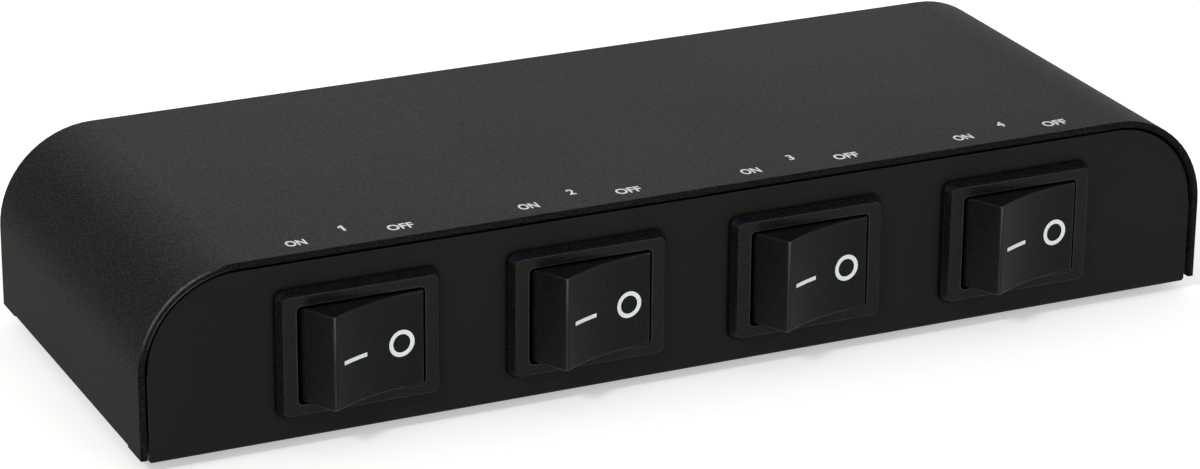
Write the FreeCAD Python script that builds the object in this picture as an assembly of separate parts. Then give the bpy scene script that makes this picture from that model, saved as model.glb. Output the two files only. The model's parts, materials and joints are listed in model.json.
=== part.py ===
import FreeCAD, Part
import math
import os
from FreeCAD import Vector

os.makedirs("parts", exist_ok=True)

# Speaker selector switch box: four two-pole rocker switches in a folded steel box, with
# five spring terminal blocks on its back. Millimetres and degrees.
# X runs to the right along the front, Y from the front to the back, Z up. The origin is
# on the table, under the middle of the cover.

# ------------------------------------------------------------------ driving dimensions
# Cover, a folded sheet that wraps the top and both sides
cover_width = 230.0
cover_depth = 85.0
cover_height = 36.7
cover_corner_radius = 20.0
cover_wall = 1.4
rim_round = 0.35
lip_width = 14.0
lip_edge_round = 0.6
lip_setback = 7.5

# Chassis, a folded sheet that is the front panel, the base and the back panel
chassis_wall = 1.2
panel_recess = 0.65
panel_gap = 0.5
panel_edge_round = 0.3
base_inset = 3.0
fold_round = 0.8
return_gap = 0.6

# Rubber feet, pushed into holes in the base
foot_diameter = 11.0
foot_height = 2.5
foot_stem_diameter = 4.0
foot_barb_diameter = 6.4
foot_barb_height = 1.5
foot_side_margin = 22.0
foot_end_margin = 14.0
foot_round = 0.6

# Screws and nuts, M3
screw_diameter = 3.0
screw_head_diameter = 5.6
screw_head_height = 1.7
screw_hole_clearance = 0.2
thread_clearance = 0.05
driver_slot_width = 0.8
driver_slot_length = 3.2
driver_slot_depth = 0.9
nut_width = 5.5
nut_height = 2.4
nut_stickout = 0.8
cover_screw_length = 5.0
cover_screw_side_margin = 8.0
cover_screw_end_margin = 17.0
cover_screws_per_side = 3

# Rocker switches, snapped into the front panel
switch_count = 4
switch_end_margin = 43.75
bezel_end_border = 3.6
bezel_side_border = 2.9
bezel_thickness = 2.6
bezel_edge_height = 0.9
bezel_slope = 0.85
bezel_corner_radius = 1.8
bezel_round = 0.3
opening_width = 26.0
opening_height = 20.0
opening_corner_radius = 1.0
body_end_wall = 1.85
body_side_wall = 0.85
cutout_clearance = 0.15
floor_thickness = 2.0
lug_length = 6.0
lug_rise = 0.8
lug_depth = 4.0
lug_gap = 0.1

# Rocker, pivoted on two trunnions, and its hollow underside
rocker_tilt = 16.5
pivot_depth = 4.0
ridge_rise = 8.1
face_hollow = 1.5
rocker_tip_gap = 0.4
rocker_waist_gap = 0.5
rocker_side_gap = 0.4
skirt_depth = 2.0
skirt_taper = 0.2
ridge_round = 0.7
rocker_edge_round = 0.35
rocker_wall = 1.4
rocker_skin = 1.6
trunnion_diameter = 2.6
trunnion_end_gap = 0.1
pivot_clearance = 0.05

# Spring plungers and the rocking contacts below them
plunger_diameter = 3.0
plunger_reach = 5.0
plunger_shank = 5.6
plunger_clearance = 0.05
plunger_gap = 0.1
boss_wall = 1.05
spring_diameter = 2.5
spring_wire = 0.4
spring_turns = 5
spring_end_gap = 0.1
arm_rise = 10.0
arm_end_gap = 2.1
arm_side_gap = 1.35
strip_thickness = 0.6
button_diameter = 3.2
button_height = 0.8
button_end_margin = 0.3
contact_gap = 0.08
fulcrum_gap = 0.12
stop_gap = 0.15
stop_thickness = 1.5
divider_thickness = 1.0

# Solder tabs of the switches
tab_thickness = 0.8
tab_width = 4.8
tab_length = 8.0
common_tab_extra = 3.5
tab_hole_diameter = 1.8
tab_hole_margin = 2.0
tab_slot_clearance = 0.05
contact_plate_overhang = 0.2

# Spring terminal blocks, screwed to the back panel
block_count = 5
block_end_margin = 31.0
flange_ear = 7.0
flange_rim = 1.8
flange_thickness = 2.0
flange_corner_radius = 2.0
plateau_rise = 3.5
column_wall = 3.0
cell_wall = 1.8
block_wall = 1.3
cavity_depth = 7.6
block_back_wall = 1.4
wire_hole = 3.6
hole_web = 1.0
chamber_length = 2.4

# Levers of the terminal blocks
lever_width = 7.6
lever_thickness = 2.8
lever_side_gap = 0.3
lever_top_gap = 0.3
lever_hinge_depth = 4.0
lever_overhang = 3.1
lever_lip_rise = 1.2
lever_lip_length = 1.4
lever_lip_slope = 1.5
lever_toe_bevel = 1.0
lever_travel = 16.0
lever_travel_gap = 0.5
lever_leg_length = 4.0
lever_leg_thickness = 1.2
lever_pin_diameter = 1.6
lever_pin_length = 0.8
lever_pin_clearance = 0.05

# Clips inside the terminal blocks
clip_thickness = 0.5
clip_width = 5.0
clip_seat_gap = 0.1
clip_end_gap = 0.4
clip_tab_width = 3.0
clip_tab_length = 6.0
clip_tab_rise = 4.1

# Wires
lead_diameter = 1.8
bus_diameter = 1.4
solder_gap = 0.05
solder_overlap = 3.0
lead_straight = 5.0
lead_bend_radius = 6.0
feed_end_reach = 8.0
feed_joint_reach = 6.0
negative_bus_reach = 3.0
negative_bus_setback = 2.0

# ------------------------------------------------------------------------ derived places
FAR = 500.0  # reach of a cut or a common box that has no end of its own
PAST = 1.0  # how far a cutting solid runs past the face that it opens
NEAR = 0.01  # tolerance for finding an edge by its place
X_AXIS = Vector(1, 0, 0)
Y_AXIS = Vector(0, 1, 0)
Z_AXIS = Vector(0, 0, 1)
SIDES = (-1, 1)

front_y = -cover_depth / 2
back_y = cover_depth / 2
base_z = foot_height
cover_z = base_z + chassis_wall
cover_top_z = cover_z + cover_height
cover_half = cover_width / 2

panel_half = cover_half - cover_wall - panel_gap
panel_top_z = cover_top_z - cover_wall - panel_gap
panel_radius = cover_corner_radius - cover_wall - panel_gap
front_panel_y = front_y + panel_recess
back_panel_y = back_y - panel_recess
axis_z = (base_z + panel_top_z) / 2

switch_span = cover_width - 2 * switch_end_margin
switch_x = [-switch_span / 2 + i * switch_span / (switch_count - 1) for i in range(switch_count)]
bezel_y = front_panel_y - bezel_thickness
bezel_half_width = opening_width / 2 + bezel_end_border
bezel_half_height = opening_height / 2 + bezel_side_border
body_half_width = opening_width / 2 + body_end_wall
body_half_height = opening_height / 2 + body_side_wall

rocker_half_height = opening_height / 2 - rocker_side_gap
tilt_sin = math.sin(math.radians(rocker_tilt))
tilt_cos = math.cos(math.radians(rocker_tilt))
ridge_reach = (opening_width / 2 - rocker_tip_gap - ridge_rise * tilt_sin) / tilt_cos
waist_reach = opening_width / 2 - rocker_waist_gap
skirt_reach = waist_reach - skirt_taper

rocker_inner_half_height = rocker_half_height - rocker_wall
skin_y = face_hollow - ridge_rise + rocker_skin

arm_length = waist_reach - rocker_wall - arm_end_gap
arm_width = rocker_inner_half_height - divider_thickness / 2 - 2 * arm_side_gap
pole_offset = divider_thickness / 2 + arm_side_gap + arm_width / 2
plunger_radius = plunger_diameter / 2
hinge_drop = (plunger_radius + plunger_gap) / math.cos(math.radians(arm_rise))
contact_hinge_y = pivot_depth + plunger_reach + hinge_drop
contact_plate_y = contact_hinge_y + strip_thickness + 2 * button_height + contact_gap
floor_y = contact_plate_y + tab_thickness
body_end_y = floor_y + floor_thickness
tab_end_y = body_end_y + tab_length
common_end_y = tab_end_y + common_tab_extra
bus_y = common_end_y - tab_hole_margin
button_x = arm_length - button_diameter / 2 - button_end_margin
plate_start_x = button_x - button_diameter / 2 - contact_plate_overhang
blade_x = button_x + button_diameter / 2 + contact_plate_overhang + tab_thickness / 2

block_span = cover_width - 2 * block_end_margin
block_x = [-block_span / 2 + i * block_span / (block_count - 1) for i in range(block_count)]
block_names = ["input"] + ["pair_%d" % n for n in range(1, block_count)]
plateau_y = flange_thickness + plateau_rise
lever_half = lever_thickness / 2
travel_sin = math.sin(math.radians(lever_travel))
travel_cos = math.cos(math.radians(lever_travel))
plateau_reach = (lever_hinge_depth + plateau_y + lever_half * travel_sin) / travel_cos
lever_dip = plateau_reach * travel_sin + lever_half * travel_cos
cavity_height = lever_top_gap + lever_half + lever_dip + lever_travel_gap
column_pitch = lever_width + 2 * lever_side_gap + column_wall
cell_height = cavity_height + hole_web + wire_hole
row_pitch = cell_height + cell_wall
block_half_width = column_pitch / 2 + lever_width / 2 + lever_side_gap + block_wall
block_half_height = row_pitch / 2 + cell_height / 2 + block_wall
block_end_y = -cavity_depth - block_back_wall
cavity_top = cell_height / 2
cavity_bottom = cavity_top - cavity_height
hole_bottom = -cell_height / 2
lever_z = cavity_top - lever_top_gap - lever_half
lever_reach = lever_hinge_depth + plateau_y + lever_overhang
flange_screw_x = block_half_width + flange_ear / 2
clip_tab_z = hole_bottom + clip_tab_rise
clip_tab_end_y = block_end_y - clip_tab_length
channels = {"left": -column_pitch / 2, "right": column_pitch / 2}
polarities = {"plus": row_pitch / 2, "minus": -row_pitch / 2}
lead_radius = lead_diameter / 2


# ------------------------------------------------------------------------------- helpers
def box(x0, x1, y0, y1, z0, z1):
    """Box between two opposite corners."""
    return Part.makeBox(x1 - x0, y1 - y0, z1 - z0, Vector(x0, y0, z0))


def rod(diameter, start, direction, length):
    return Part.makeCylinder(diameter / 2, length, start, direction)


def fused(shapes):
    return shapes[0].multiFuse(shapes[1:]).removeSplitter()


def rounded_path(points, radii, closed):
    """Straight runs through the points, with an arc of the given radius at each corner."""
    count = len(points)
    corners = range(count) if closed else range(1, count - 1)
    arrive = list(points)
    leave = list(points)
    arcs = {}
    for i in corners:
        if radii[i] <= 0:
            continue
        back = (points[i - 1] - points[i]).normalize()
        ahead = (points[(i + 1) % count] - points[i]).normalize()
        half_angle = back.getAngle(ahead) / 2
        reach = radii[i] / math.tan(half_angle)
        inward = (back + ahead).normalize()
        arrive[i] = points[i] + back * reach
        leave[i] = points[i] + ahead * reach
        middle = points[i] + inward * (radii[i] / math.sin(half_angle) - radii[i])
        arcs[i] = Part.Arc(arrive[i], middle, leave[i]).toShape()
    edges = []
    for i in range(count):
        if i in arcs:
            edges.append(arcs[i])
        if closed or i < count - 1:
            edges.append(Part.makeLine(leave[i], arrive[(i + 1) % count]))
    return Part.Wire(edges)


def rounded_prism(points, radii, along):
    """Solid with the rounded outline of the points, drawn out along a vector."""
    return Part.Face(rounded_path(points, radii, True)).extrude(along)


def arch(half_width, bottom, top, top_radius, bottom_radius, y0, y1):
    """Slab in the XZ plane with large upper corners and small lower ones."""
    xz = [(-half_width, bottom), (half_width, bottom), (half_width, top), (-half_width, top)]
    points = [Vector(x, y0, z) for x, z in xz]
    radii = [bottom_radius, bottom_radius, top_radius, top_radius]
    return rounded_prism(points, radii, Y_AXIS * (y1 - y0))


def rounded_slab(half_width, half_height, radius, y0, y1):
    return arch(half_width, -half_height, half_height, radius, radius, y0, y1)


def bent_rod(points, bend_radius, diameter):
    """Round wire along straight runs joined by tangent arcs."""
    path = rounded_path(points, [bend_radius] * len(points), False)
    ring = Part.Wire(Part.makeCircle(diameter / 2, points[0], points[1] - points[0]))
    return path.makePipeShell([ring], True, False)


def panel_cutout(x, half_width, half_height, y0, y1):
    """Window through a panel, with the clearance that the body in it has all round."""
    w = half_width + cutout_clearance
    h = half_height + cutout_clearance
    return box(x - w, x + w, y0 - PAST, y1 + PAST, axis_z - h, axis_z + h)


def flat_edge(edge, axis):
    """Whether a straight edge lies along one axis."""
    lengths = {"x": edge.BoundBox.XLength, "y": edge.BoundBox.YLength, "z": edge.BoundBox.ZLength}
    return all(length < NEAR for name, length in lengths.items() if name != axis)


def moved(shape, x, y, z):
    return shape.translated(Vector(x, y, z))


def pan_screw(length):
    """Pan head screw along Z: the head is below Z 0, the shank above it."""
    head_bottom = Vector(0, 0, -screw_head_height)
    head = rod(screw_head_diameter, head_bottom, Z_AXIS, screw_head_height)
    rim = [e for e in head.Edges if len(e.Vertexes) == 1 and e.CenterOfMass.z < -screw_head_height / 2]
    head = head.makeFillet(screw_head_height / 3, rim)
    shank = rod(screw_diameter, Vector(0, 0, 0), Z_AXIS, length)
    half_length = driver_slot_length / 2
    half_width = driver_slot_width / 2
    slot_top = driver_slot_depth - screw_head_height
    slot_bottom = -2 * screw_head_height
    slot = box(-half_length, half_length, -half_width, half_width, slot_bottom, slot_top)
    cross = slot.fuse(slot.rotated(Vector(0, 0, 0), Z_AXIS, 90))
    return fused([head, shank]).cut(cross)


def hex_nut():
    """Nut along Z that sits on Z 0."""
    corner_radius = nut_width / 2 / math.cos(math.radians(30))
    angles = [math.radians(60 * i) for i in range(7)]
    corners = [Vector(math.cos(a), math.sin(a), 0) * corner_radius for a in angles]
    blank = Part.Face(Part.makePolygon(corners)).extrude(Z_AXIS * nut_height)
    return blank.cut(rod(screw_diameter + 2 * thread_clearance, Vector(0, 0, 0), Z_AXIS, nut_height))


# ----------------------------------------------------------------------------- enclosure
def cover_screw_places():
    start = front_y + cover_screw_end_margin
    step = (cover_depth - 2 * cover_screw_end_margin) / (cover_screws_per_side - 1)
    x = cover_half - cover_screw_side_margin
    return [(side * x, start + i * step) for side in SIDES for i in range(cover_screws_per_side)]


def foot_places():
    x = cover_half - foot_side_margin
    y = cover_depth / 2 - foot_end_margin
    return [(sx * x, sy * y) for sx in SIDES for sy in SIDES]


def make_cover():
    inner_half = cover_half - cover_wall
    inner_radius = cover_corner_radius - cover_wall
    outer = arch(cover_half, cover_z, cover_top_z, cover_corner_radius, 0, front_y, back_y)
    inner = arch(inner_half, cover_z - PAST, cover_top_z - cover_wall, inner_radius, 0, front_y, back_y)
    shell = outer.cut(inner)
    ends = [e for e in shell.Edges if abs(abs(e.CenterOfMass.y) - back_y) < NEAR]
    rim = [e for e in ends if e.BoundBox.ZMax > cover_z + NEAR]
    shell = shell.makeFillet(rim_round, rim)
    lip_front = front_y + lip_setback
    lip_back = back_y - lip_setback
    lip_top = cover_z + cover_wall
    shell = shell.cut(box(-FAR, FAR, lip_front, lip_back, cover_z - PAST, lip_top))
    lips = arch(cover_half, cover_z, cover_z + 2 * cover_wall, 0, lip_edge_round, lip_front, lip_back)
    lips = lips.common(box(-FAR, FAR, -FAR, FAR, cover_z, lip_top))
    lip_end = cover_half - lip_width
    lips = lips.cut(box(-lip_end, lip_end, -FAR, FAR, -FAR, FAR))
    cover = fused([shell, lips])
    hole_diameter = screw_diameter + 2 * thread_clearance
    starts = [Vector(x, y, cover_z - PAST) for x, y in cover_screw_places()]
    holes = [rod(hole_diameter, start, Z_AXIS, cover_wall + 2 * PAST) for start in starts]
    return cover.cut(Part.makeCompound(holes))


def make_chassis():
    front_inner = front_panel_y + chassis_wall
    back_inner = back_panel_y - chassis_wall
    base_half = cover_half - base_inset
    front = arch(panel_half, base_z, panel_top_z, panel_radius, 0, front_panel_y, front_inner)
    outline = [e for e in front.Edges if abs(e.BoundBox.YMax - front_panel_y) < NEAR]
    front = front.makeFillet(panel_edge_round, [e for e in outline if e.BoundBox.ZMax > base_z + NEAR])
    back = arch(panel_half, base_z, panel_top_z, panel_radius, 0, back_inner, back_panel_y)
    base = box(-base_half, base_half, front_panel_y, back_panel_y, base_z, cover_z)
    return_z0 = cover_z + panel_gap
    return_z1 = panel_top_z - panel_radius
    return_end = lip_setback - return_gap
    pieces = [front, back, base]
    for side in SIDES:
        x0, x1 = sorted((side * panel_half, side * (panel_half - chassis_wall)))
        pieces.append(box(x0, x1, front_panel_y, front_y + return_end, return_z0, return_z1))
        pieces.append(box(x0, x1, back_y - return_end, back_panel_y, return_z0, return_z1))
    chassis = fused(pieces)
    low_edges = [e for e in chassis.Edges if e.BoundBox.ZMax < base_z + NEAR]
    folds = [e for e in low_edges if flat_edge(e, "x") and e.BoundBox.XLength > base_half]
    chassis = chassis.makeFillet(fold_round, folds)
    holes = [
        panel_cutout(x, body_half_width, body_half_height, front_panel_y, front_inner)
        for x in switch_x
    ]
    holes += [
        panel_cutout(x, block_half_width, block_half_height, back_inner, back_panel_y)
        for x in block_x
    ]
    through = chassis_wall + 2 * PAST
    clear_diameter = screw_diameter + 2 * screw_hole_clearance
    for x in block_x:
        for side in SIDES:
            start = Vector(x + side * flange_screw_x, back_inner - PAST, axis_z)
            holes.append(rod(clear_diameter, start, Y_AXIS, through))
    for x, y in cover_screw_places():
        holes.append(rod(clear_diameter, Vector(x, y, base_z - PAST), Z_AXIS, through))
    for x, y in foot_places():
        stem_hole = foot_stem_diameter + 2 * thread_clearance
        holes.append(rod(stem_hole, Vector(x, y, base_z - PAST), Z_AXIS, through))
    return chassis.cut(Part.makeCompound(holes))


def make_foot():
    """Push-in foot: a pad below the base, a stem through it and a barb that holds it."""
    pad = rod(foot_diameter, Vector(0, 0, 0), Z_AXIS, foot_height)
    rim = [e for e in pad.Edges if len(e.Vertexes) == 1 and e.CenterOfMass.z < foot_height / 2]
    pad = pad.makeFillet(foot_round, rim)
    stem = rod(foot_stem_diameter, Vector(0, 0, foot_height), Z_AXIS, chassis_wall)
    barb_radius = foot_barb_diameter / 2
    tip_radius = foot_stem_diameter / 2
    barb = Part.makeCone(barb_radius, tip_radius, foot_barb_height, Vector(0, 0, cover_z), Z_AXIS)
    return fused([pad, stem, barb])


def make_feet():
    foot = make_foot()
    return Part.makeCompound([moved(foot, x, y, 0) for x, y in foot_places()])


def make_cover_screws():
    screw = pan_screw(cover_screw_length)
    return Part.makeCompound([moved(screw, x, y, base_z) for x, y in cover_screw_places()])


def flange_fastener_places():
    return [(x + side * flange_screw_x, axis_z) for x in block_x for side in SIDES]


def make_terminal_screws():
    length = flange_thickness + chassis_wall + nut_height + nut_stickout
    screw = pan_screw(length).rotated(Vector(0, 0, 0), X_AXIS, 90)
    head_y = back_panel_y + flange_thickness
    return Part.makeCompound([moved(screw, x, head_y, z) for x, z in flange_fastener_places()])


def make_terminal_nuts():
    nut = hex_nut().rotated(Vector(0, 0, 0), X_AXIS, 90)
    seat_y = back_panel_y - chassis_wall
    return Part.makeCompound([moved(nut, x, seat_y, z) for x, z in flange_fastener_places()])


# ---------------------------------------------------------------------- rocker switches
# Each switch is drawn with its origin in the middle of the opening on the bezel's front
# plane, with Y going in, and is then put in place.
def in_switch(shape, index):
    return moved(shape, switch_x[index], bezel_y, axis_z)


def rounded_ring(half_width, half_height, radius, y):
    corners = [(-1, -1), (1, -1), (1, 1), (-1, 1)]
    points = [Vector(sx * half_width, y, sz * half_height) for sx, sz in corners]
    return rounded_path(points, [radius] * 4, True)


def make_bezel():
    """Flange with an upright edge, then a slope up to the flat front."""
    w = bezel_half_width
    h = bezel_half_height
    r = bezel_corner_radius
    slope_y = bezel_thickness - bezel_edge_height
    edge = rounded_slab(w, h, r, slope_y, bezel_thickness)
    foot_ring = rounded_ring(w, h, r, slope_y)
    face_ring = rounded_ring(w - bezel_slope, h - bezel_slope, r - bezel_slope / 2, 0)
    slope = Part.makeLoft([foot_ring, face_ring], True)
    rim = [e for e in slope.Edges if e.BoundBox.YMax < NEAR]
    return fused([edge, slope.makeFillet(bezel_round, rim)])


def make_lug(side):
    """Wedge on the end of the body that snaps behind the panel."""
    start_y = bezel_thickness + chassis_wall + lug_gap
    end_y = start_y + lug_depth
    root_x = body_half_width - body_end_wall / 2
    tip_x = body_half_width + cutout_clearance + lug_rise
    outline = [(root_x, start_y), (tip_x, start_y), (body_half_width, end_y), (root_x, end_y)]
    points = [Vector(side * x, y, -lug_length / 2) for x, y in outline]
    return Part.Face(Part.makePolygon(points + points[:1])).extrude(Z_AXIS * lug_length)


def make_switch_body():
    w = body_half_width
    h = body_half_height
    body = box(-w, w, bezel_thickness / 2, body_end_y, -h, h)
    block = fused([make_bezel(), body] + [make_lug(side) for side in SIDES])
    well_half_width = opening_width / 2
    well_half_height = opening_height / 2
    well = rounded_slab(well_half_width, well_half_height, opening_corner_radius, -PAST, floor_y)
    return block.cut(well)


def make_switch_ribs():
    """Divider between the two poles, and a stop below each rocking contact's left arm."""
    divider_y = contact_hinge_y + strip_thickness
    divider_half = divider_thickness / 2
    divider_x = opening_width / 2 + body_end_wall / 2
    low_y = floor_y + floor_thickness / 2
    ribs = [box(-divider_x, divider_x, divider_y, low_y, -divider_half, divider_half)]
    stop_y = divider_y + stop_gap
    stop_x0 = -button_x - stop_thickness / 2
    stop_x1 = stop_x0 + stop_thickness
    for side in SIDES:
        z = side * pole_offset
        ribs.append(box(stop_x0, stop_x1, stop_y, low_y, z - arm_width / 2, z + arm_width / 2))
    return ribs


def make_switch_housing():
    block = fused([make_switch_body()] + make_switch_ribs())
    pivot_hole = trunnion_diameter + 2 * pivot_clearance
    cuts = [rod(pivot_hole, Vector(0, pivot_depth, -FAR), Z_AXIS, 2 * FAR)]
    slot_x = tab_thickness / 2 + tab_slot_clearance
    slot_z = tab_width / 2 + tab_slot_clearance
    slot = box(-slot_x, slot_x, floor_y - NEAR, body_end_y + PAST, -slot_z, slot_z)
    for x in (0, blade_x):
        cuts += [moved(slot, x, 0, side * pole_offset) for side in SIDES]
    return block.cut(Part.makeCompound(cuts))


def rocker_side_outline():
    """Outline of the untilted rocker round its pivot: the hollow face between two ridges."""
    hollow = Part.Arc(
        Vector(-ridge_reach, -ridge_rise, 0),
        Vector(0, face_hollow - ridge_rise, 0),
        Vector(ridge_reach, -ridge_rise, 0),
    ).toShape()
    rest = Part.makePolygon(
        [
            Vector(ridge_reach, -ridge_rise, 0),
            Vector(waist_reach, 0, 0),
            Vector(skirt_reach, skirt_depth, 0),
            Vector(-skirt_reach, skirt_depth, 0),
            Vector(-waist_reach, 0, 0),
            Vector(-ridge_reach, -ridge_rise, 0),
        ]
    )
    return Part.Face(Part.Wire([hollow] + rest.Edges))


def make_rocker_slab():
    slab = rocker_side_outline().extrude(Z_AXIS * (2 * rocker_half_height))
    slab = moved(slab, 0, 0, -rocker_half_height)
    upright = [e for e in slab.Edges if flat_edge(e, "z")]
    ridges = [e for e in upright if e.BoundBox.YMax < NEAR - ridge_rise]
    slab = slab.makeFillet(ridge_round, ridges)
    above_pivot = [e for e in slab.Edges if e.BoundBox.YMax < NEAR]
    rim = [e for e in above_pivot if e.BoundBox.ZLength < NEAR]
    return slab.makeFillet(rocker_edge_round, rim)


def make_rocker_hollow():
    """Room below the rocker's skin, open at the bottom."""
    draft = (waist_reach - ridge_reach) / ridge_rise
    top_half = waist_reach + draft * skin_y - rocker_wall
    low_half = skirt_reach - rocker_wall
    low_y = skirt_depth + PAST
    outline = [(-top_half, skin_y), (top_half, skin_y), (low_half, low_y), (-low_half, low_y)]
    points = [Vector(x, y, -rocker_inner_half_height) for x, y in outline]
    corner = rocker_wall / 2
    return rounded_prism(points, [corner, corner, 0, 0], Z_AXIS * (2 * rocker_inner_half_height))


def make_rocker():
    shell = make_rocker_slab().cut(make_rocker_hollow())
    bore_diameter = plunger_diameter + 2 * plunger_clearance
    boss_start = skin_y - rocker_skin / 2
    trunnion_start = rocker_half_height - rocker_wall / 2
    trunnion_length = body_half_height - trunnion_end_gap - trunnion_start
    additions = []
    bores = []
    for side in SIDES:
        z = side * pole_offset
        boss_diameter = bore_diameter + 2 * boss_wall
        additions.append(rod(boss_diameter, Vector(0, boss_start, z), Y_AXIS, skirt_depth - boss_start))
        trunnion_base = Vector(0, 0, side * trunnion_start)
        additions.append(rod(trunnion_diameter, trunnion_base, Z_AXIS * side, trunnion_length))
        bores.append(rod(bore_diameter, Vector(0, skin_y, z), Y_AXIS, FAR))
    return fused([shell] + additions).cut(Part.makeCompound(bores))


def tilted(shape):
    """Turns what rides on the rocker to its resting tilt, with the left ridge standing out."""
    return moved(shape.rotated(Vector(0, 0, 0), Z_AXIS, rocker_tilt), 0, pivot_depth, 0)


def make_plunger(z):
    start_y = plunger_reach - plunger_shank
    shank = rod(plunger_diameter, Vector(0, start_y, z), Y_AXIS, plunger_shank)
    tip = Part.makeSphere(plunger_radius, Vector(0, plunger_reach, z))
    return fused([shank, tip])


def make_plunger_spring(z):
    """Compression spring between the bottom of the bore and the back of the plunger."""
    start = skin_y + spring_end_gap + spring_wire / 2
    end = plunger_reach - plunger_shank - spring_end_gap - spring_wire / 2
    pitch = (end - start) / spring_turns
    coil_radius = (spring_diameter - spring_wire) / 2
    section = Part.Wire(Part.makeCircle(spring_wire / 2, Vector(coil_radius, 0, 0), Y_AXIS))
    turn = Part.makeHelix(pitch, pitch, coil_radius).makePipeShell([section], True, True)
    coil = fused([moved(turn, 0, 0, i * pitch) for i in range(spring_turns)])
    return moved(coil.rotated(Vector(0, 0, 0), X_AXIS, -90), 0, start, z)


def make_rocking_contact(z):
    """Shallow V strip that tips on its middle, with a contact button under its right arm."""
    rise = math.radians(arm_rise)
    run = Vector(math.cos(rise), -math.sin(rise), 0)
    down = Vector(math.sin(rise), math.cos(rise), 0)
    start_z = Vector(0, 0, z - arm_width / 2)
    top_right = run * arm_length
    low_right = top_right + down * strip_thickness
    low_middle = Vector(0, strip_thickness / math.cos(rise), 0)
    mirror = [Vector(-p.x, p.y, 0) for p in (low_right, top_right)]
    points = [p + start_z for p in [Vector(0, 0, 0), top_right, low_right, low_middle] + mirror]
    strip = Part.Face(Part.makePolygon(points + points[:1])).extrude(Z_AXIS * arm_width)
    seat = run * button_x + down * (strip_thickness / 2) + Vector(0, 0, z)
    button = rod(button_diameter, seat, down, strip_thickness / 2 + button_height)
    contact = fused([strip, button]).rotated(Vector(0, 0, 0), Z_AXIS, -arm_rise)
    return moved(contact, 0, contact_hinge_y, 0)


def tab_hole(x, y, z):
    return rod(tab_hole_diameter, Vector(x - tab_thickness, y, z), X_AXIS, 2 * tab_thickness)


def make_common_terminal(z):
    """Blade whose top edge carries the rocking contact and whose tail is the common tab."""
    top_y = contact_hinge_y + strip_thickness / math.cos(math.radians(arm_rise)) + fulcrum_gap
    half = tab_thickness / 2
    blade = box(-half, half, top_y, common_end_y, z - tab_width / 2, z + tab_width / 2)
    return blade.cut(tab_hole(0, bus_y, z))


def make_switched_terminal(z):
    """Plate on the floor with a contact button, folded down into the switched tab."""
    z0 = z - tab_width / 2
    z1 = z + tab_width / 2
    blade_end_x = blade_x + tab_thickness / 2
    plate = box(plate_start_x, blade_end_x, contact_plate_y, floor_y, z0, z1)
    blade = box(blade_x - tab_thickness / 2, blade_end_x, contact_plate_y, tab_end_y, z0, z1)
    button_start = Vector(button_x, contact_plate_y - button_height, z)
    button = rod(button_diameter, button_start, Y_AXIS, button_height + tab_thickness / 2)
    tab = fused([plate, blade, button])
    return tab.cut(tab_hole(blade_x, tab_end_y - tab_hole_margin, z))


def both_poles(make):
    return Part.makeCompound([make(side * pole_offset) for side in SIDES])


# ----------------------------------------------------------------- rear terminal blocks
# Each block is drawn with its origin in its middle on the back panel's outer face, with Y
# going out of the back, and is then put in place.
def in_block(shape, index):
    return moved(shape, block_x[index], back_panel_y, axis_z)


def block_cells():
    return [(x, z) for x in channels.values() for z in polarities.values()]


def make_cell_cuts():
    """Room for one lever, its wire hole, its clip, the clip's tab and the hinge pins."""
    cavity_half = lever_width / 2 + lever_side_gap
    hole_half = wire_hole / 2
    hole_top = hole_bottom + wire_hole
    clip_half = clip_width / 2 + clip_seat_gap
    slot_half = clip_tab_width / 2 + clip_seat_gap
    slot_rise = clip_thickness / 2 + clip_seat_gap
    slot_low = clip_tab_z - slot_rise
    slot_high = clip_tab_z + slot_rise
    inner_y = -cavity_depth
    outer_y = plateau_y + PAST
    chamber_y = inner_y + chamber_length
    slot_y = block_end_y - PAST
    pin_reach = cavity_half + lever_pin_length + lever_pin_clearance
    pin_diameter = lever_pin_diameter + 2 * lever_pin_clearance
    pin_start = Vector(-pin_reach, -lever_hinge_depth, lever_z)
    return [
        box(-cavity_half, cavity_half, inner_y, outer_y, cavity_bottom, cavity_top),
        box(-hole_half, hole_half, inner_y, outer_y, hole_bottom, hole_top),
        box(-clip_half, clip_half, inner_y, chamber_y, hole_bottom, cavity_top),
        box(-slot_half, slot_half, slot_y, chamber_y, slot_low, slot_high),
        rod(pin_diameter, pin_start, X_AXIS, 2 * pin_reach),
    ]


def make_block_housing():
    w = block_half_width
    h = block_half_height
    flange_half_width = w + flange_ear
    flange_half_height = h + flange_rim
    flange = rounded_slab(flange_half_width, flange_half_height, flange_corner_radius, 0, flange_thickness)
    core = box(-w, w, block_end_y, plateau_y, -h, h)
    front_edges = [e for e in core.Edges if e.BoundBox.YMin > plateau_y - NEAR]
    core = core.makeFillet(bezel_round, front_edges)
    cuts = [moved(cut, x, 0, z) for x, z in block_cells() for cut in make_cell_cuts()]
    hole_diameter = screw_diameter + 2 * screw_hole_clearance
    for side in SIDES:
        start = Vector(side * flange_screw_x, -PAST, 0)
        cuts.append(rod(hole_diameter, start, Y_AXIS, flange_thickness + 2 * PAST))
    return fused([flange, core]).cut(Part.makeCompound(cuts))


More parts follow.
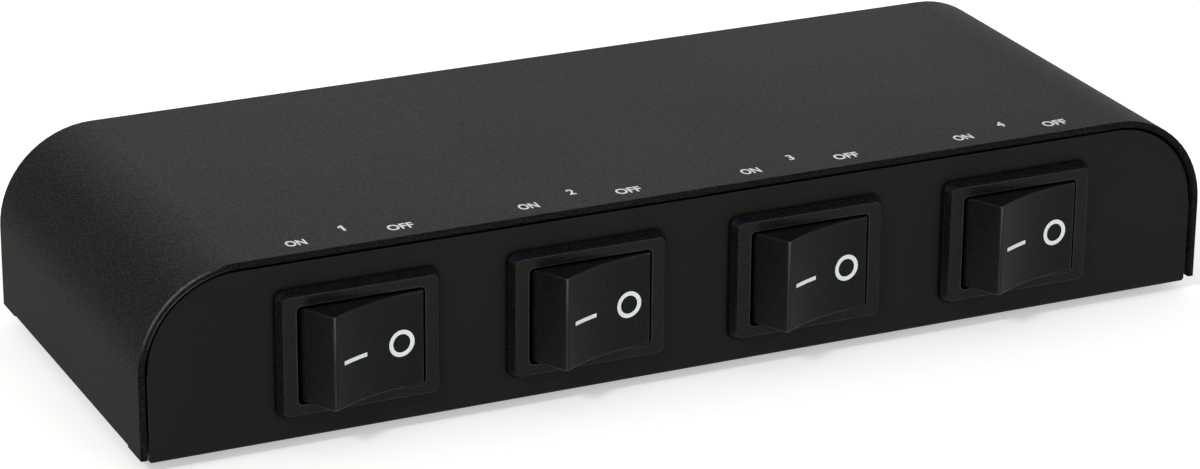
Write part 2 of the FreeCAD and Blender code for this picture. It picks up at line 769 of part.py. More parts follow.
def make_lever():
    """Push lever round its hinge: a finger tab that stands out and a leg that opens the clip."""
    half = lever_half
    tip = lever_reach
    lip_start = tip - lever_lip_length - lever_lip_slope
    leg_back = -half
    leg_front = leg_back + lever_leg_thickness
    yz = [
        (leg_back, half, half),
        (lip_start, half, 0),
        (tip - lever_lip_length, half + lever_lip_rise, lever_lip_slope / 4),
        (tip, half + lever_lip_rise, lever_lip_rise / 2),
        (tip, lever_toe_bevel - half, 0),
        (tip - lever_toe_bevel, -half, 0),
        (leg_front, -half, 0),
        (leg_front, -lever_leg_length, lever_leg_thickness / 3),
        (leg_back, -lever_leg_length, lever_leg_thickness / 3),
    ]
    points = [Vector(-lever_width / 2, y, z) for y, z, _ in yz]
    body = rounded_prism(points, [r for _, _, r in yz], X_AXIS * lever_width)
    pin_reach = lever_width / 2 + lever_side_gap + lever_pin_length
    pin = rod(lever_pin_diameter, Vector(-pin_reach, 0, 0), X_AXIS, 2 * pin_reach)
    return moved(fused([body, pin]), 0, -lever_hinge_depth, lever_z)


def make_clip():
    """Strip behind the lever's leg with a solder tab through the back of the block."""
    leaf_half = clip_width / 2
    tab_half = clip_tab_width / 2
    tab_rise = clip_thickness / 2
    leaf_y = clip_seat_gap - cavity_depth
    low_z = hole_bottom + clip_end_gap
    high_z = cavity_top - clip_end_gap
    tab_low = clip_tab_z - tab_rise
    tab_high = clip_tab_z + tab_rise
    leaf = box(-leaf_half, leaf_half, leaf_y, leaf_y + clip_thickness, low_z, high_z)
    tab = box(-tab_half, tab_half, clip_tab_end_y, leaf_y + tab_rise, tab_low, tab_high)
    return fused([leaf, tab])


def make_clips():
    clip = make_clip()
    one_block = [moved(clip, x, 0, z) for x, z in block_cells()]
    return Part.makeCompound([in_block(part, i) for i in range(block_count) for part in one_block])


# -------------------------------------------------------------------------------- wires
def make_lead(start, end):
    """Wire that leaves and arrives along Y, with one slanted run between."""
    leave = start + Y_AXIS * (solder_overlap + lead_straight)
    arrive = end - Y_AXIS * (solder_overlap + lead_straight)
    return bent_rod([start, leave, arrive, end], lead_bend_radius, lead_diameter)


def plus_clip_end(block, channel):
    """Where a wire lies on top of a plus clip's solder tab."""
    z = axis_z + polarities["plus"] + clip_tab_z + clip_thickness / 2 + solder_gap + lead_radius
    return Vector(block_x[block] + channels[channel], back_panel_y + clip_tab_end_y + solder_overlap, z)


def make_hookup_wires():
    """Two wires from each switch to its own block, and two from the input to the feed wires."""
    leads = []
    edge_offset = tab_width / 2 + solder_gap + lead_radius
    poles = {"left": 1, "right": -1}
    for i in range(switch_count):
        for channel, side in poles.items():
            z = axis_z + side * (pole_offset + edge_offset)
            start = Vector(switch_x[i] + blade_x, bezel_y + tab_end_y - solder_overlap, z)
            leads.append(make_lead(start, plus_clip_end(i + 1, channel)))
    for channel, side in poles.items():
        y = bezel_y + bus_y + bus_diameter / 2 + solder_gap
        start = Vector(switch_x[0] - feed_joint_reach, y, axis_z + side * pole_offset)
        leads.append(make_lead(start, plus_clip_end(0, channel)))
    return Part.makeCompound(leads)


def make_feed_wires():
    """One bare wire for each channel, threaded through the common tabs of all the switches."""
    x0 = switch_x[0] - feed_end_reach
    length = switch_x[-1] + feed_end_reach - x0
    starts = [Vector(x0, bezel_y + bus_y, axis_z + side * pole_offset) for side in SIDES]
    return Part.makeCompound([rod(bus_diameter, start, X_AXIS, length) for start in starts])


def make_negative_wires():
    """One wire for each channel, past all the minus clips: one below the tabs, one above."""
    x0 = block_x[0] - column_pitch / 2 - negative_bus_reach
    x1 = block_x[-1] + column_pitch / 2 + negative_bus_reach
    tab_z = axis_z + polarities["minus"] + clip_tab_z
    offset = clip_thickness / 2 + solder_gap + lead_radius
    y = back_panel_y + clip_tab_end_y + negative_bus_setback
    starts = [Vector(x0, y, tab_z + side * offset) for side in SIDES]
    return Part.makeCompound([rod(lead_diameter, start, X_AXIS, x1 - x0) for start in starts])


# ------------------------------------------------------------------------------ assembly
nodes = {
    "cover": make_cover(),
    "chassis": make_chassis(),
    "rubber_feet": make_feet(),
    "cover_screws": make_cover_screws(),
    "terminal_screws": make_terminal_screws(),
    "terminal_nuts": make_terminal_nuts(),
    "clip_contacts": make_clips(),
    "hookup_wires": make_hookup_wires(),
    "feed_bus_wires": make_feed_wires(),
    "negative_bus_wires": make_negative_wires(),
}

switch_parts = {
    "switch_%d_housing": make_switch_housing(),
    "rocker_%d": tilted(make_rocker()),
    "plungers_%d": tilted(both_poles(make_plunger)),
    "plunger_springs_%d": tilted(both_poles(make_plunger_spring)),
    "rocking_contacts_%d": both_poles(make_rocking_contact),
    "switch_%d_terminals": Part.makeCompound(
        [both_poles(make_common_terminal), both_poles(make_switched_terminal)]
    ),
}
for i in range(switch_count):
    for pattern, shape in switch_parts.items():
        nodes[pattern % (i + 1)] = in_switch(shape, i)

block_housing = make_block_housing()
lever = make_lever()
for i, block in enumerate(block_names):
    nodes["terminal_housing_" + block] = in_block(block_housing, i)
    for channel, x in channels.items():
        for polarity, z in polarities.items():
            name = "lever_%s_%s_%s" % (block, channel, polarity)
            nodes[name] = in_block(moved(lever, x, 0, z), i)

for name, shape in nodes.items():
    shape.exportStep("parts/%s.step" % name)
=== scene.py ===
import json
import math

import bmesh
import bpy
from mathutils import Matrix, Vector


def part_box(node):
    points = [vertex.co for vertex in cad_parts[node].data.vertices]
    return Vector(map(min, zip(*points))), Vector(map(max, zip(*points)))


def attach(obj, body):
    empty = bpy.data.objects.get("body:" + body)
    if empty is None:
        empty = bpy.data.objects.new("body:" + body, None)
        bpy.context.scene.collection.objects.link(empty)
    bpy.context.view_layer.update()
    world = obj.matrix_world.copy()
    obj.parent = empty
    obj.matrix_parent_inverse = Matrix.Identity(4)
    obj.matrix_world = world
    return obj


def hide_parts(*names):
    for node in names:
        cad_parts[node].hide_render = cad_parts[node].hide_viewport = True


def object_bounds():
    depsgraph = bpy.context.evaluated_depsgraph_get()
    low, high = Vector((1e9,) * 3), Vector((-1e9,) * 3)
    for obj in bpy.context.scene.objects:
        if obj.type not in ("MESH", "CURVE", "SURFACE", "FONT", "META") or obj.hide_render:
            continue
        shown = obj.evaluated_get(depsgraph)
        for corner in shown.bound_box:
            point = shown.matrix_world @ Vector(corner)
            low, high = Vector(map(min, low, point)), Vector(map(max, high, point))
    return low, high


# Looks of a speaker selector switch box: a folded steel box in black powder coat, with
# four rocker switches in front and five spring terminal blocks at the back.
# Metres, in the CAD's frame: X to the right along the front, Y to the back, Z up.

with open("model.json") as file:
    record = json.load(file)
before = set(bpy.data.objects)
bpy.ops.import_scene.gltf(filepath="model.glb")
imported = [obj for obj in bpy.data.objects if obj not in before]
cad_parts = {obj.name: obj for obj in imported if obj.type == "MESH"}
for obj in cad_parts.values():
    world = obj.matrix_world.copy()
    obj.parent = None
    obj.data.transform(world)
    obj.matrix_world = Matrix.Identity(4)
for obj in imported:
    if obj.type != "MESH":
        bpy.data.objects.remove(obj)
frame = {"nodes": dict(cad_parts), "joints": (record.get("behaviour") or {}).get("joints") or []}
cad_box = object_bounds()

MM = 0.001
SWITCHES = (1, 2, 3, 4)
BLOCKS = ("input", "pair_1", "pair_2", "pair_3", "pair_4")
CHANNELS = ("left", "right")
POLARITIES = ("plus", "minus")
LEVERS = [(b, c, p) for b in BLOCKS for c in CHANNELS for p in POLARITIES]
ROOT = "box"
smooth_below = math.radians(35)
RIGHT = Vector((1, 0, 0))
BACKWARD = Vector((0, 1, 0))
UP = Vector((0, 0, 1))


# ------------------------------------------------------------------- places in the frame
def centre(node):
    low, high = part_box(node)
    return (low + high) / 2


def rocker_pivot(n):
    """Place of a rocker's hinge, in the middle of its switch."""
    name = "rocker_%d_press" % n
    return Vector(next(j for j in frame["joints"] if j["name"] == name)["pos_m"])


def lever_node(block, channel, polarity):
    return "lever_%s_%s_%s" % (block, channel, polarity)


cover_low, cover_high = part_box("cover")
chassis_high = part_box("chassis")[1]
block_centres = {b: centre("terminal_housing_" + b) for b in BLOCKS}

# A rocker's face is a shallow hollow between two ridges. These sizes repeat the CAD's.
rocker_tilt = Matrix.Rotation(math.radians(16.5), 3, "Z")
ridge_rise = 8.1 * MM
face_hollow = 1.5 * MM
ridge_reach = 10.74 * MM

# Where a highlight is painted on the box's rounded left shoulder, and how close to a rocker's
# ridge one is painted along it. It starts at the first value of a pair and is full from the second
# one on.
highlight_x = (-97.0 * MM, -104.0 * MM)
highlight_z = (24.0 * MM, 31.0 * MM)
ridge_highlight_reach = (0.44 * MM, 0.34 * MM)
ridge_highlight_height = 9.0 * MM
least_ridge_highlight = 0.3


# -------------------------------------------------------------------- small shared tools
def add_node(tree, kind, inputs=None, **settings):
    """Adds a node with its settings. An input takes a value, or a node or an output to link."""
    made = tree.nodes.new(kind)
    for key, value in settings.items():
        setattr(made, key, value)
    for key, value in (inputs or {}).items():
        if isinstance(value, bpy.types.Node):
            value = next(output for output in value.outputs if output.enabled)
        if isinstance(value, bpy.types.NodeSocket):
            tree.links.new(value, made.inputs[key])
        else:
            made.inputs[key].default_value = value
    return made


def srgb(code):
    """Linear colour of an sRGB hex value."""
    shares = [int(code[i:i + 2], 16) / 255 for i in (0, 2, 4)]
    linear = [s / 12.92 if s <= 0.04045 else ((s + 0.055) / 1.055) ** 2.4 for s in shares]
    return (*linear, 1.0)


def per_mm(size):
    """Texture scale whose features measure that many millimetres."""
    return 1 / (size * MM)


def finish_piece(piece, body, replaced=()):
    """Shades a piece, puts it on its body and hides the imported nodes that it stands for."""
    piece.data.shade_smooth()
    piece.data.set_sharp_from_angle(angle=smooth_below)
    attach(piece, body)
    if replaced:
        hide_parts(*replaced)
    return piece


def new_piece(name, mesh, material):
    piece = bpy.data.objects.new(name, mesh)
    bpy.context.scene.collection.objects.link(piece)
    if not mesh.materials:
        mesh.materials.append(material)
    return piece


# ----------------------------------------------------------------------------- materials
def emptied_tree(owner):
    """The tree of nodes of a material or a world, without the nodes that it comes with."""
    owner.use_nodes = True
    owner.node_tree.nodes.clear()
    return owner.node_tree


def new_material(name):
    """An empty material, its tree of nodes and the object's own coordinates."""
    material = bpy.data.materials.new(name)
    tree = emptied_tree(material)
    return material, tree, add_node(tree, "ShaderNodeTexCoord").outputs["Object"]


def finished(material, colour, roughness, height, depth, fixed=None):
    """Closes a material: its shader, with a relief of that depth in millimetres."""
    tree = material.node_tree
    relief = add_node(tree, "ShaderNodeBump", {"Height": height, "Distance": depth * MM})
    inputs = {"Base Color": colour, "Roughness": roughness, "Normal": relief, **(fixed or {})}
    shader = add_node(tree, "ShaderNodeBsdfPrincipled", inputs)
    add_node(tree, "ShaderNodeOutputMaterial", {"Surface": shader})
    return material


# How open a place is when a corner starts and is full, seen from within the piece, and when
# the painted shade of a crevice is full and ends, seen from outside.
cornered = (0.92, 0.62)
shade_opening = (0.5, 0.8)
occlusion_samples = 8


def corner_share(tree, reach):
    """Share that is 1 along outer corners, to that depth in millimetres."""
    within = add_node(
        tree, "ShaderNodeAmbientOcclusion", {"Distance": reach * MM},
        inside=True, only_local=True, samples=occlusion_samples,
    ).outputs["AO"]
    return add_node(
        tree, "ShaderNodeMapRange",
        {"Value": within, "From Min": cornered[0], "From Max": cornered[1]},
    )


def handled_corners(tree, place, reach, patch):
    """Share that is 1 along outer corners, and the same broken up into patches that size."""
    corners = corner_share(tree, reach)
    patches = add_node(
        tree, "ShaderNodeTexNoise", {"Vector": place, "Scale": per_mm(patch), "Detail": 3.0}
    )
    rubbed = add_node(tree, "ShaderNodeMath", {0: corners, 1: patches}, operation="MULTIPLY")
    return corners, rubbed


def open_share(tree, reach):
    """Share that is 1 in the open and 0 in the crevices, where pieces meet and shade is painted."""
    around = add_node(
        tree, "ShaderNodeAmbientOcclusion", {"Distance": reach * MM}, samples=occlusion_samples
    ).outputs["AO"]
    return add_node(
        tree, "ShaderNodeMapRange",
        {"Value": around, "From Min": shade_opening[0], "From Max": shade_opening[1]},
    )


def held_shoulder(tree, place):
    """Share that is 1 on the rounded left shoulder of the box, where a highlight is painted."""
    x, _, z = add_node(tree, "ShaderNodeSeparateXYZ", {0: place}).outputs
    outward = add_node(
        tree, "ShaderNodeMapRange", {"Value": x, "From Min": highlight_x[0], "From Max": highlight_x[1]}
    )
    upward = add_node(
        tree, "ShaderNodeMapRange", {"Value": z, "From Min": highlight_z[0], "From Max": highlight_z[1]}
    )
    return add_node(tree, "ShaderNodeMath", {0: outward, 1: upward}, operation="MULTIPLY")


def powder_coated_steel():
    """Baked polyester powder coat: satin black, with fine pebbles that catch the light.

    The pebbles are drawn half a millimetre wide, about twice the real size, so that they show.
    Over the sheet's edges the coat turns smooth and glossy, and the colour is a painted dark bluish
    shade.
    On the rounded left shoulder the corners of the edge carry a painted highlight.
    """
    material, tree, place = new_material("black_powder_coat")
    pebbles = add_node(
        tree, "ShaderNodeTexNoise",
        {"Vector": place, "Scale": per_mm(0.5), "Detail": 2.0, "Roughness": 0.65},
    )
    clouds = add_node(tree, "ShaderNodeTexNoise", {"Vector": place, "Scale": per_mm(60)})
    edge = corner_share(tree, 0.8)
    corners, rubbed = handled_corners(tree, place, 0.3, 1.2)
    pale = add_node(
        tree, "ShaderNodeMath", {0: corners, 1: held_shoulder(tree, place)}, operation="MULTIPLY"
    )
    crests = add_node(
        tree, "ShaderNodeMapRange", {"Value": pebbles, "From Min": 0.4, "From Max": 0.62}
    )
    coat = add_node(
        tree, "ShaderNodeMix", {0: crests, 6: srgb("090908"), 7: srgb("252520")}, data_type="RGBA"
    )
    # The sheet's whole edge is painted a dark bluish shade.
    edged = add_node(
        tree, "ShaderNodeMix", {0: edge, 6: coat, 7: srgb("040410")}, data_type="RGBA"
    )
    # A near-white painted highlight along the corners of the edge on the left shoulder.
    colour = add_node(
        tree, "ShaderNodeMix", {0: pale, 6: edged, 7: srgb("EAEAF8")}, data_type="RGBA"
    )
    satin = add_node(tree, "ShaderNodeMapRange", {"Value": clouds, "To Min": 0.45, "To Max": 0.52})
    roughness = add_node(tree, "ShaderNodeMix", {0: corners, 2: satin, 3: 0.16})
    polish = add_node(tree, "ShaderNodeMath", {0: rubbed, 1: 0.3}, operation="MULTIPLY")
    fixed = {"Specular IOR Level": 0.031, "Coat Weight": polish, "Coat Roughness": 0.12}
    return finished(material, colour, roughness, pebbles, 0.1, fixed)


def satin_black_paint():
    """Smooth sprayed enamel: even and near black, with a faint orange peel, stray dust and painted
    shade where other pieces stand close.
    """
    material, tree, place = new_material("satin_black_paint")
    peel = add_node(
        tree, "ShaderNodeTexNoise", {"Vector": place, "Scale": per_mm(1.6), "Detail": 1.0}
    )
    specks = add_node(
        tree, "ShaderNodeTexNoise", {"Vector": place, "Scale": per_mm(0.5), "Detail": 0.0}
    )
    clouds = add_node(tree, "ShaderNodeTexNoise", {"Vector": place, "Scale": per_mm(30)})
    corners, rubbed = handled_corners(tree, place, 0.35, 3.0)
    dust = add_node(
        tree, "ShaderNodeMapRange", {"Value": specks, "From Min": 0.8, "From Max": 0.84}
    )
    paint = add_node(
        tree, "ShaderNodeMix", {0: clouds, 6: srgb("131312"), 7: srgb("191918")}, data_type="RGBA"
    )
    dusty = add_node(
        tree, "ShaderNodeMix", {0: dust, 6: paint, 7: srgb("222221")}, data_type="RGBA"
    )
    worn = add_node(
        tree, "ShaderNodeMix", {0: rubbed, 6: dusty, 7: srgb("303030")}, data_type="RGBA"
    )
    # Shade painted near black where other pieces stand close, such as around the bezels.
    clear = open_share(tree, 1.4)
    colour = add_node(
        tree, "ShaderNodeMix", {0: clear, 6: srgb("020202"), 7: worn}, data_type="RGBA"
    )
    satin = add_node(tree, "ShaderNodeMapRange", {"Value": peel, "To Min": 0.4, "To Max": 0.5})
    roughness = add_node(tree, "ShaderNodeMix", {0: corners, 2: satin, 3: 0.25})
    return finished(material, colour, roughness, peel, 0.008, {"Specular IOR Level": 0.1})


def ridge_share(tree, place):
    """Share of a painted highlight, which grows to 1 up the raised ridge of every rocker.

    The switches stand in a row, so a place is first moved to the same place on the first one.
    """
    pivot = rocker_pivot(1)
    half_pitch = (rocker_pivot(2).x - pivot.x) / 2
    ridge = pivot + rocker_tilt @ Vector((-ridge_reach, -ridge_rise, 0))
    x, y, z = add_node(tree, "ShaderNodeSeparateXYZ", {0: place}).outputs
    first = add_node(
        tree, "ShaderNodeMath", {0: x, 1: pivot.x + half_pitch, 2: pivot.x - half_pitch},
        operation="WRAP",
    )
    spot = add_node(tree, "ShaderNodeCombineXYZ", {0: first, 1: y})
    away = add_node(
        tree, "ShaderNodeVectorMath", {0: spot, 1: (ridge.x, ridge.y, 0)}, operation="DISTANCE"
    )
    line = add_node(
        tree, "ShaderNodeMapRange",
        {"Value": away, "From Min": ridge_highlight_reach[0], "From Max": ridge_highlight_reach[1]},
    )
    upward = add_node(
        tree, "ShaderNodeMapRange",
        {
            "Value": z, "From Min": pivot.z, "From Max": pivot.z + ridge_highlight_height,
            "To Min": least_ridge_highlight,
        },
    )
    return add_node(tree, "ShaderNodeMath", {0: line, 1: upward}, operation="MULTIPLY")


def moulded_nylon(name, dark, pale, grain, gloss, shine, polish):
    """Injection-moulded nylon from a spark-eroded tool: a fine even grain, glossier on edges.
    Its corners are pale, partly from wear and partly as a painted highlight. A highlight is painted
    up the rockers' ridges, and shade near black where other pieces stand close.

    Gloss is its least roughness, shine its specular level and polish the coat on its corners.
    """
    material, tree, place = new_material(name)
    sparks = add_node(
        tree, "ShaderNodeTexNoise", {"Vector": place, "Scale": per_mm(grain), "Roughness": 0.6}
    )
    flow = add_node(tree, "ShaderNodeTexNoise", {"Vector": place, "Scale": per_mm(9)})
    corners, rubbed = handled_corners(tree, place, 0.4, 2.5)
    crests = add_node(
        tree, "ShaderNodeMapRange", {"Value": sparks, "From Min": 0.4, "From Max": 0.6}
    )
    body = add_node(
        tree, "ShaderNodeMix", {0: crests, 6: srgb(dark), 7: srgb(pale)}, data_type="RGBA"
    )
    # The corners are painted pale, partly as wear and partly as a painted highlight along the
    # edges.
    worn = add_node(
        tree, "ShaderNodeMix", {0: rubbed, 6: body, 7: srgb("38393B")}, data_type="RGBA"
    )
    ridge = ridge_share(tree, place)
    # A pale highlight is painted up the rockers' ridges.
    ridge_highlit = add_node(
        tree, "ShaderNodeMix", {0: ridge, 6: worn, 7: srgb("4C4C4A")}, data_type="RGBA"
    )
    # Shade painted near black where other pieces stand close, such as around the rockers.
    clear = open_share(tree, 1.2)
    colour = add_node(
        tree, "ShaderNodeMix", {0: clear, 6: srgb("020202"), 7: ridge_highlit}, data_type="RGBA"
    )
    matt = add_node(
        tree, "ShaderNodeMapRange", {"Value": flow, "To Min": gloss, "To Max": gloss + 0.1}
    )
    roughness = add_node(tree, "ShaderNodeMix", {0: corners, 2: matt, 3: 0.15})
    glaze = add_node(tree, "ShaderNodeMath", {0: corners, 1: polish}, operation="MULTIPLY")
    fixed = {"Specular IOR Level": shine, "Coat Weight": glaze, "Coat Roughness": 0.12}
    return finished(material, colour, roughness, sparks, 0.022, fixed)


def glass_filled_plastic():
    """Glass-filled moulding with a dull sheen and pale fibre specks."""
    material, tree, place = new_material("black_glass_filled_plastic")
    grain = add_node(
        tree, "ShaderNodeTexNoise",
        {"Vector": place, "Scale": per_mm(0.35), "Detail": 3.0, "Roughness": 0.6},
    )
    specks = add_node(
        tree, "ShaderNodeTexNoise", {"Vector": place, "Scale": per_mm(0.3), "Detail": 0.0}
    )
    corners, rubbed = handled_corners(tree, place, 0.4, 2.5)
    fibres = add_node(
        tree, "ShaderNodeMapRange", {"Value": specks, "From Min": 0.74, "From Max": 0.8}
    )
    body = add_node(
        tree, "ShaderNodeMix", {0: grain, 6: srgb("0E0E0F"), 7: srgb("1E1E1F")}, data_type="RGBA"
    )
    specked = add_node(
        tree, "ShaderNodeMix", {0: fibres, 6: body, 7: srgb("2C2C2C")}, data_type="RGBA"
    )
    colour = add_node(
        tree, "ShaderNodeMix", {0: rubbed, 6: specked, 7: srgb("313233")}, data_type="RGBA"
    )
    dull = add_node(tree, "ShaderNodeMapRange", {"Value": grain, "To Min": 0.36, "To Max": 0.54})
    roughness = add_node(tree, "ShaderNodeMix", {0: corners, 2: dull, 3: 0.3})
    return finished(material, colour, roughness, grain, 0.015)


def moulded_abs(name, dark, pale, rubbed_colour):
    """Semi-gloss ABS: saturated colour with soft depth, polished by fingers on its corners."""
    material, tree, place = new_material(name)
    flow = add_node(
        tree, "ShaderNodeTexNoise", {"Vector": place, "Scale": per_mm(2.2), "Detail": 3.0}
    )
    skin = add_node(
        tree, "ShaderNodeTexNoise", {"Vector": place, "Scale": per_mm(0.5), "Detail": 1.0}
    )
    corners, rubbed = handled_corners(tree, place, 0.5, 2.0)
    body = add_node(
        tree, "ShaderNodeMix", {0: flow, 6: srgb(dark), 7: srgb(pale)}, data_type="RGBA"
    )
    colour = add_node(
        tree, "ShaderNodeMix", {0: rubbed, 6: body, 7: srgb(rubbed_colour)}, data_type="RGBA"
    )
    gloss = add_node(tree, "ShaderNodeMapRange", {"Value": flow, "To Min": 0.22, "To Max": 0.4})
    roughness = add_node(tree, "ShaderNodeMix", {0: corners, 2: gloss, 3: 0.18})
    return finished(material, colour, roughness, skin, 0.006)


def zinc_plated_steel(name, dark, pale, dulled):
    """Bright zinc plate, passivated: bluish silver that clouds over and dulls on its corners."""
    material, tree, place = new_material(name)
    clouds = add_node(
        tree, "ShaderNodeTexNoise",
        {"Vector": place, "Scale": per_mm(1.8), "Detail": 3.0, "Roughness": 0.6},
    )
    crystals = add_node(tree, "ShaderNodeTexNoise", {"Vector": place, "Scale": per_mm(0.25)})
    corners, rubbed = handled_corners(tree, place, 0.25, 0.8)
    plate = add_node(
        tree, "ShaderNodeMix", {0: clouds, 6: srgb(dark), 7: srgb(pale)}, data_type="RGBA"
    )
    colour = add_node(
        tree, "ShaderNodeMix", {0: rubbed, 6: plate, 7: srgb(dulled)}, data_type="RGBA"
    )
    gloss = add_node(tree, "ShaderNodeMapRange", {"Value": clouds, "To Min": 0.18, "To Max": 0.46})
    roughness = add_node(tree, "ShaderNodeMix", {0: corners, 2: gloss, 3: 0.25})
    return finished(material, colour, roughness, crystals, 0.006, {"Metallic": 1.0})


def moulded_rubber():
    """Moulded rubber: matt, with a greyish bloom and dust in its grain."""
    material, tree, place = new_material("black_rubber")
    grain = add_node(
        tree, "ShaderNodeTexNoise",
        {"Vector": place, "Scale": per_mm(0.4), "Detail": 3.0, "Roughness": 0.65},
    )
    bloom = add_node(
        tree, "ShaderNodeTexNoise", {"Vector": place, "Scale": per_mm(5), "Detail": 3.0}
    )
    colour = add_node(
        tree, "ShaderNodeMix", {0: bloom, 6: srgb("111111"), 7: srgb("2A2928")}, data_type="RGBA"
    )
    matt = add_node(tree, "ShaderNodeMapRange", {"Value": grain, "To Min": 0.7, "To Max": 0.95})
    return finished(material, colour, matt, grain, 0.03)


def natural_acetal():
    """Unpigmented acetal: milky white with a waxy depth."""
    material, tree, place = new_material("natural_acetal")
    flow = add_node(tree, "ShaderNodeTexNoise", {"Vector": place, "Scale": per_mm(1.5)})
    colour = add_node(
        tree, "ShaderNodeMix", {0: flow, 6: srgb("D3CFC0"), 7: srgb("EFECE2")}, data_type="RGBA"
    )
    waxy = add_node(tree, "ShaderNodeMapRange", {"Value": flow, "To Min": 0.32, "To Max": 0.5})
    fixed = {"Subsurface Weight": 0.15, "Subsurface Scale": 0.6 * MM}
    return finished(material, colour, waxy, flow, 0.01, fixed)


def rolled_metal(name, dark, pale, gloss_low, gloss_high):
    """Rolled or drawn metal: fine lines along it, with soft tarnish clouds.

    The lines are drawn an eighth of a millimetre apart, coarser than real ones.
    """
    material, tree, place = new_material(name)
    along = add_node(tree, "ShaderNodeMapping", {"Vector": place, "Scale": (0.08, 1.0, 1.0)})
    lines = add_node(
        tree, "ShaderNodeTexNoise", {"Vector": along, "Scale": per_mm(0.12), "Detail": 3.0}
    )
    tarnish = add_node(
        tree, "ShaderNodeTexNoise",
        {"Vector": place, "Scale": per_mm(2.5), "Detail": 3.0, "Roughness": 0.6},
    )
    colour = add_node(
        tree, "ShaderNodeMix", {0: tarnish, 6: srgb(dark), 7: srgb(pale)}, data_type="RGBA"
    )
    gloss = add_node(
        tree, "ShaderNodeMapRange", {"Value": lines, "To Min": gloss_low, "To Max": gloss_high}
    )
    return finished(material, colour, gloss, lines, 0.004, {"Metallic": 1.0})


def wire_insulation(name, dark, pale):
    """Extruded PVC: smooth and slightly greasy, with faint draw lines that hold dust."""
    material, tree, place = new_material(name)
    along = add_node(tree, "ShaderNodeMapping", {"Vector": place, "Scale": (1.0, 0.1, 1.0)})
    drawn = add_node(tree, "ShaderNodeTexNoise", {"Vector": along, "Scale": per_mm(0.3)})
    colour = add_node(
        tree, "ShaderNodeMix", {0: drawn, 6: srgb(dark), 7: srgb(pale)}, data_type="RGBA"
    )
    gloss = add_node(tree, "ShaderNodeMapRange", {"Value": drawn, "To Min": 0.3, "To Max": 0.48})
    return finished(material, colour, gloss, drawn, 0.01)


def printing_ink(name, thin, full, gloss):
    """Screen ink: opaque and chalky, slightly uneven where the mesh laid it down."""
    material, tree, place = new_material(name)
    coverage = add_node(
        tree, "ShaderNodeTexNoise", {"Vector": place, "Scale": per_mm(0.35), "Roughness": 0.6}
    )
    share = add_node(
        tree, "ShaderNodeMapRange", {"Value": coverage, "From Min": 0.25, "From Max": 0.6}
    )
    colour = add_node(
        tree, "ShaderNodeMix", {0: share, 6: srgb(thin), 7: srgb(full)}, data_type="RGBA"
    )
    chalky = add_node(
        tree, "ShaderNodeMapRange", {"Value": coverage, "To Min": gloss, "To Max": gloss + 0.15}
    )
    return finished(material, colour, chalky, coverage, 0.006)


def make_materials():
    """Every finish of the object, by the record's slot or by what it is used for."""
    return {
        "cover_coating": powder_coated_steel(),
        "chassis_paint": satin_black_paint(),
        "housing_nylon": moulded_nylon(
            "black_nylon_frame", "090909", "171717", grain=0.4, gloss=0.2, shine=0.15, polish=0.12
        ),
        "rocker_nylon": moulded_nylon(
            "black_nylon_rocker", "0A0A0D", "161617", grain=0.38, gloss=0.3, shine=0.105, polish=0.5
        ),
        "block_plastic": glass_filled_plastic(),
        "lever_red": moulded_abs("red_abs", "940F0B", "B8261F", "C9554C"),
        "lever_black": moulded_abs("black_abs", "0C0C0D", "1A1A1B", "3A3A3B"),
        "screw_steel": zinc_plated_steel("zinc_plated_screw", "85898C", "AEB1B3", "C9CACB"),
        "nut_steel": zinc_plated_steel("zinc_plated_nut", "949694", "BABBB6", "CFCFCB"),
        "foot_rubber": moulded_rubber(),
        "plunger_plastic": natural_acetal(),
        "spring_steel": rolled_metal("drawn_spring_wire", "7E8183", "AEB0B1", 0.18, 0.38),
        "contact_metal": rolled_metal("silvered_brass", "AD8D50", "DCC384", 0.2, 0.44),
        "tab_metal": rolled_metal("tinned_brass", "A09D92", "D0CDC2", 0.26, 0.5),
        "clip_metal": rolled_metal("nickel_plated_bronze", "9B968A", "CAC5B8", 0.18, 0.4),
        "lead_insulation": wire_insulation("red_wire_pvc", "76110D", "9C231D"),
        "negative_insulation": wire_insulation("black_wire_pvc", "0E0E0F", "1C1C1D"),
        "feed_copper": rolled_metal("tinned_copper_wire", "9F9282", "CCC3B6", 0.2, 0.44),
        "rocker_ink": printing_ink("white_pad_print", "D3DEE0", "E9F1F3", 0.38),
        "panel_ink": printing_ink("white_screen_print", "C2C3C1", "DEDFDD", 0.48),
    }


materials = make_materials()


def dress_cad_nodes():
    """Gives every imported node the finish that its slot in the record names."""
    for node in frame["nodes"].values():
        for slot in node.material_slots:
            slot.material = materials[slot.material.name.split(".")[0]]


# ------------------------------------------------------------------ pieces grown by nodes
def new_tree(name, sizes):
    """Tree of geometry nodes whose inputs are a mesh, the named sizes and the finish."""
    tree = bpy.data.node_groups.new(name, "GeometryNodeTree")
    tree.interface.new_socket("Mesh", in_out="INPUT", socket_type="NodeSocketGeometry")
    for size, kind in sizes.items():
        tree.interface.new_socket(size, in_out="INPUT", socket_type="NodeSocket" + kind)
    tree.interface.new_socket("Finish", in_out="INPUT", socket_type="NodeSocketMaterial")
    tree.interface.new_socket("Mesh", in_out="OUTPUT", socket_type="NodeSocketGeometry")
    return tree, add_node(tree, "NodeGroupInput").outputs


def close_tree(tree, shape, given):
    """Ends a tree: real meshes for its instances, and the finish on all of them."""
    real = add_node(tree, "GeometryNodeRealizeInstances", {"Geometry": shape})
    faced = add_node(
        tree, "GeometryNodeSetMaterial", {"Geometry": real, "Material": given["Finish"]}
    )
    add_node(tree, "NodeGroupOutput", {0: faced})
    return tree


